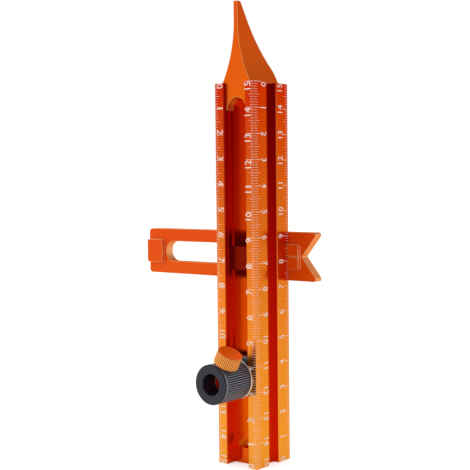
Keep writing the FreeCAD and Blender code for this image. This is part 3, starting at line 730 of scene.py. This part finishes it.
@dataclass
class Scale:
    """One engraved scale: its marks run in from an edge of a face, its numbers read one way."""

    name: str
    face: Face
    from_left: bool
    zero_at_top: bool
    reads_down: bool
    place: NumberPlace
    number_centre: float
    unit_mark: float
    half_mark: float
    full_mark: float
    thin: float = 0.11 * MM
    thick: float = 0.16 * MM
    lift: float = 0.02 * MM
    edge_gap: float = 0.3 * MM
    number_gap: float = 0.22 * MM
    glyphs: Glyphs = field(default_factory=Glyphs)

    def __post_init__(self) -> None:
        """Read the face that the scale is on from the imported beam."""
        low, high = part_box("beam")
        self.length = high.z
        if self.face is Face.FRONT:
            self.ends = (low.x, high.x)
            self.level = low.y
        else:
            self.ends = (low.y, high.y)
            self.level = high.x

    def point(self, across: float, up: float) -> Vector:
        """Point just proud of the face.

        Args:
            across: Distance in from the scale's edge.
            up: Height on the beam.

        Returns:
            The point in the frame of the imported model.
        """
        along = self.ends[0] + across if self.from_left else self.ends[1] - across
        if self.face is Face.FRONT:
            return Vector((along, self.level - self.lift, up))
        return Vector((self.level + self.lift, along, up))

    def height_of(self, mark: int) -> float:
        """Height on the beam of a millimetre mark, kept on the face at both ends."""
        height = mark * MM
        up = self.length - height if self.zero_at_top else height
        return min(max(up, self.thick / 2), self.length - self.thick / 2)

    def outward(self, points: list[Vector], faces: list[Loop]) -> list[Loop]:
        """Turn every face to look out of the beam.

        Args:
            points: The points of the faces.
            faces: The faces, wound either way.

        Returns:
            The faces, wound so that their normals leave the beam.
        """
        out = Vector((0, -1, 0)) if self.face is Face.FRONT else Vector((1, 0, 0))
        turned = []
        for face in faces:
            a, b, c = (points[index] for index in face[:3])
            turned.append(face if (b - a).cross(c - b).dot(out) > 0 else face[::-1])
        return turned

    def engrave(self, label: str, points: list[Vector], faces: list[Loop]) -> None:
        """Turn flat outlines into a piece that is engraved metal and rides on the beam.

        Args:
            label: What the piece holds.
            points: Its points.
            faces: Its faces, wound either way.
        """
        mesh = bpy.data.meshes.new(f"{self.name}_{label}")
        mesh.from_pydata(points, [], self.outward(points, faces))
        mesh.materials.append(ENGRAVED.material())
        mesh.validate()
        mesh.update()
        piece = bpy.data.objects.new(f"{self.name}_{label}", mesh)
        bpy.context.scene.collection.objects.link(piece)
        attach(piece, "beam")
        LOG.info("scales: %s with %d faces", piece.name, len(faces))

    def marks(self) -> None:
        """Engrave a mark at each millimetre, longer at each five and longest at each ten."""
        points, faces = [], []
        for mark in range(LAST_NUMBER * MARKS_PER_NUMBER + 1):
            if mark % MARKS_PER_NUMBER == 0:
                reach, half = self.full_mark, self.thick / 2
            elif mark % MARKS_PER_HALF == 0:
                reach, half = self.half_mark, self.thin / 2
            else:
                reach, half = self.unit_mark, self.thin / 2
            up = self.height_of(mark)
            first = len(points)
            points += [self.point(self.edge_gap, up - half), self.point(reach, up - half),
                       self.point(reach, up + half), self.point(self.edge_gap, up + half)]
            faces.append((first, first + 1, first + 2, first + 3))
        self.engrave("marks", points, faces)

    def numbers(self) -> None:
        """Engrave the number of each centimetre beside its mark or at its end."""
        points, faces = [], []
        reading = Vector((0, 0, -1 if self.reads_down else 1))
        right = Vector((1, 0, 0)) if self.face is Face.FRONT else Vector((0, 1, 0))
        upright = right if self.reads_down else -right
        from_zero = -1 if self.zero_at_top else 1
        for number in range(LAST_NUMBER + 1):
            flat, loops, length = self.glyphs.outline(number)
            up = self.height_of(number * MARKS_PER_NUMBER)
            clear = length / 2 + self.number_gap
            if self.place is NumberPlace.BESIDE:
                # A number stands on zero's side of its mark, and zero itself on the other side.
                up += clear * (from_zero if number == 0 else -from_zero)
            up = min(max(up, clear), self.length - clear)
            middle = self.point(self.number_centre, up)
            first = len(points)
            points += [middle + reading * spot.x + upright * spot.y for spot in flat]
            faces += [tuple(first + index for index in loop) for loop in loops]
        self.engrave("numbers", points, faces)

    def build(self) -> None:
        """Engrave the marks and the numbers."""
        self.marks()
        self.numbers()


@dataclass(frozen=True)
class Lamp:
    """Square soft light."""

    name: str
    place: Triple
    size: float
    watts: float

    def hang(self, target: Triple) -> None:
        """Hang the lamp and turn it to what it lights.

        Args:
            target: The point that it looks at.
        """
        data = bpy.data.lights.new(self.name, "AREA")
        data.size = self.size
        data.energy = self.watts
        lamp = bpy.data.objects.new(self.name, data)
        bpy.context.scene.collection.objects.link(lamp)
        lamp.location = self.place
        aim = Vector(target) - Vector(self.place)
        lamp.rotation_euler = aim.to_track_quat("-Z", "Y").to_euler()


@dataclass
class Studio:
    """Plain pale floor, plain soft light, and the camera."""

    camera_place: Triple = (0.25514, -0.32762, 0.11212)
    camera_right: Triple = (0.77880, 0.62718, -0.01034)
    camera_down: Triple = (0.02452, -0.04691, -0.99860)
    camera_forward: Triple = (-0.62679, 0.77746, -0.05192)
    lens: float = 80.29
    sensor: float = 36.0
    clip: Span = (0.01, 50.0)
    floor_half: float = 6.0
    floor_drop: float = 0.05 * MM
    floor_colour: Colour = (0.86, 0.86, 0.86, 1.0)
    floor_roughness: float = 0.9
    floor_shine: float = 0.1
    floor_glow: float = 0.50
    floor_mirrored: float = 0.28
    world_level: float = 0.80
    overhead_level: float = 0.38
    overhead_span: Span = (0.20, 0.75)
    front_level: float = 0.45
    front_span: Span = (0.72, 0.96)
    open_side: Triple = (0.62, -0.78, 0.08)
    lit_point: Triple = (0.0, 0.0, 0.085)
    lamps: tuple[Lamp, ...] = (Lamp("key_light", (-0.55, -0.95, 0.75), 0.7, 3.0),
                               Lamp("fill_light", (1.05, -0.35, 0.55), 0.8, 0.4),
                               Lamp("rim_light", (0.35, 0.95, 0.70), 0.6, 0.15))

    def camera(self) -> None:
        """Set the camera at the photograph's viewing angle."""
        data = bpy.data.cameras.new("studio_camera")
        data.lens = self.lens
        data.sensor_width = self.sensor
        data.clip_start, data.clip_end = self.clip
        camera = bpy.data.objects.new("studio_camera", data)
        bpy.context.scene.collection.objects.link(camera)
        right = Vector(self.camera_right)
        up = -Vector(self.camera_down)
        back = -Vector(self.camera_forward)
        turn = Matrix((right, up, back)).transposed().to_4x4()
        camera.matrix_world = Matrix.Translation(self.camera_place) @ turn
        bpy.context.scene.camera = camera

    def floor(self) -> None:
        """Lay a pale matt floor that shows white to the camera and keeps the shadow."""
        half = self.floor_half
        mesh = bpy.data.meshes.new("studio_floor")
        mesh.from_pydata([(-half, -half, 0), (half, -half, 0), (half, half, 0), (-half, half, 0)],
                         [], [(0, 1, 2, 3)])
        material, shader = add_material("floor_white", {
            "Base Color": self.floor_colour, "Roughness": self.floor_roughness,
            "Specular IOR Level": self.floor_shine, "Emission Color": WHITE})
        tree, link = material.node_tree, material.node_tree.links.new
        path = add_node(tree, "LightPath")
        mirrored = add_node(tree, "Math", {1: self.floor_mirrored}, operation="MULTIPLY")
        level = add_node(tree, "Math", {1: self.floor_glow}, operation="MULTIPLY_ADD")
        link(path.outputs["Is Glossy Ray"], mirrored.inputs[0])
        link(path.outputs["Is Camera Ray"], level.inputs[0])
        link(mirrored.outputs[0], level.inputs[2])
        link(level.outputs[0], shader.inputs["Emission Strength"])
        mesh.materials.append(material)
        floor = bpy.data.objects.new("studio_floor", mesh)
        bpy.context.scene.collection.objects.link(floor)
        floor.location.z = -self.floor_drop
        floor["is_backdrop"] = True

    def world(self) -> None:
        """White surroundings, mirrored dimmer from overhead and from the studio's open front."""
        world = bpy.data.worlds.new("studio_world")
        bpy.context.scene.world = world
        world.use_nodes = True
        tree, link = world.node_tree, world.node_tree.links.new
        background = tree.nodes["Background"]
        background.inputs["Color"].default_value = WHITE
        way = add_node(tree, "TexCoord")
        split = add_node(tree, "SeparateXYZ")
        facing = add_node(tree, "VectorMath", {1: self.open_side}, operation="DOT_PRODUCT")
        overhead, front = (
            add_node(tree, "MapRange", {"From Min": span[0], "From Max": span[1],
                                        "To Min": 1.0, "To Max": level},
                     interpolation_type="SMOOTHSTEP")
            for span, level in ((self.overhead_span, self.overhead_level),
                                (self.front_span, self.front_level)))
        dim = add_node(tree, "Math", operation="MULTIPLY")
        path = add_node(tree, "LightPath")
        lit = add_node(tree, "MapRange", {"To Min": self.world_level})
        seen = add_node(tree, "Math", operation="MAXIMUM")
        link(way.outputs["Generated"], split.inputs[0])
        link(way.outputs["Generated"], facing.inputs[0])
        link(split.outputs["Z"], overhead.inputs["Value"])
        link(facing.outputs["Value"], front.inputs["Value"])
        link(overhead.outputs["Result"], dim.inputs[0])
        link(front.outputs["Result"], dim.inputs[1])
        link(path.outputs["Is Glossy Ray"], lit.inputs["Value"])
        link(dim.outputs[0], lit.inputs["To Max"])
        link(lit.outputs["Result"], seen.inputs[0])
        link(path.outputs["Is Camera Ray"], seen.inputs[1])
        link(seen.outputs[0], background.inputs["Strength"])

    def build(self) -> None:
        """Set up the camera, the surroundings, the floor and the lamps."""
        bpy.context.scene.view_settings.view_transform = "Standard"
        self.camera()
        self.world()
        self.floor()
        for lamp in self.lamps:
            lamp.hang(self.lit_point)
        LOG.info("studio: floor, surroundings and %d lamps", len(self.lamps))


def assemblies() -> list[PackedPieces]:
    """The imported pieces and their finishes, by sub-assembly.

    Returns:
        The sub-assemblies.
    """
    return [
        PackedPieces("beam and beak", {
            "beam": BEAM_ORANGE, "nose": BEAK_ORANGE, "nose_screw": BRIGHT_STEEL}),
        PackedPieces("pencil holder", {
            "clamp_tube": TUBE_ORANGE, "guide_shoe": SHOE_STEEL, "barrel_washer": WASHER_STEEL,
            "pencil_barrel": BARREL_BLACK, "thumb_stud": BRIGHT_STEEL,
            "thumb_head": THUMB_ORANGE}),
        PackedPieces("cross plate", {
            "cross_plate": PLATE_ORANGE, "guide_block": SHADED_BLOCK_ORANGE,
            "clamp_washer": WASHER_STEEL, "clamp_screw": BRIGHT_STEEL,
            "clamp_knob": KNOB_BLACK}),
    ]


def scales() -> list[Scale]:
    """The four scales that the front and right faces carry.

    Returns:
        The scales, from the left edge of the front to the right edge of the side.
    """
    return [
        Scale("front_left", Face.FRONT, from_left=True, zero_at_top=True, reads_down=True,
              place=NumberPlace.BESIDE, number_centre=2.55 * MM, unit_mark=1.5 * MM,
              half_mark=2.6 * MM, full_mark=4.1 * MM),
        Scale("front_right", Face.FRONT, from_left=False, zero_at_top=False, reads_down=False,
              place=NumberPlace.BESIDE, number_centre=3.10 * MM, unit_mark=1.7 * MM,
              half_mark=2.6 * MM, full_mark=4.1 * MM),
        Scale("side_left", Face.SIDE, from_left=True, zero_at_top=True, reads_down=True,
              place=NumberPlace.AT_END, number_centre=6.1 * MM, unit_mark=2.1 * MM,
              half_mark=3.3 * MM, full_mark=4.5 * MM),
        Scale("side_right", Face.SIDE, from_left=False, zero_at_top=False, reads_down=False,
              place=NumberPlace.AT_END, number_centre=5.2 * MM, unit_mark=1.8 * MM,
              half_mark=2.8 * MM, full_mark=3.6 * MM),
    ]


def main() -> None:
    """Build the studio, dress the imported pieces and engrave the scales."""
    for built in (Studio(), *assemblies(), *scales()):
        built.build()
    visual_box = [list(corner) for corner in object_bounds()]
    over = max(abs(packed - visual) for corners in zip(PACKED_BOX, visual_box)
               for packed, visual in zip(*corners))
    LOG.info("size: the visual box differs from the packed box by %.3f mm", over / MM)


if __name__ == "__main__":
    main()
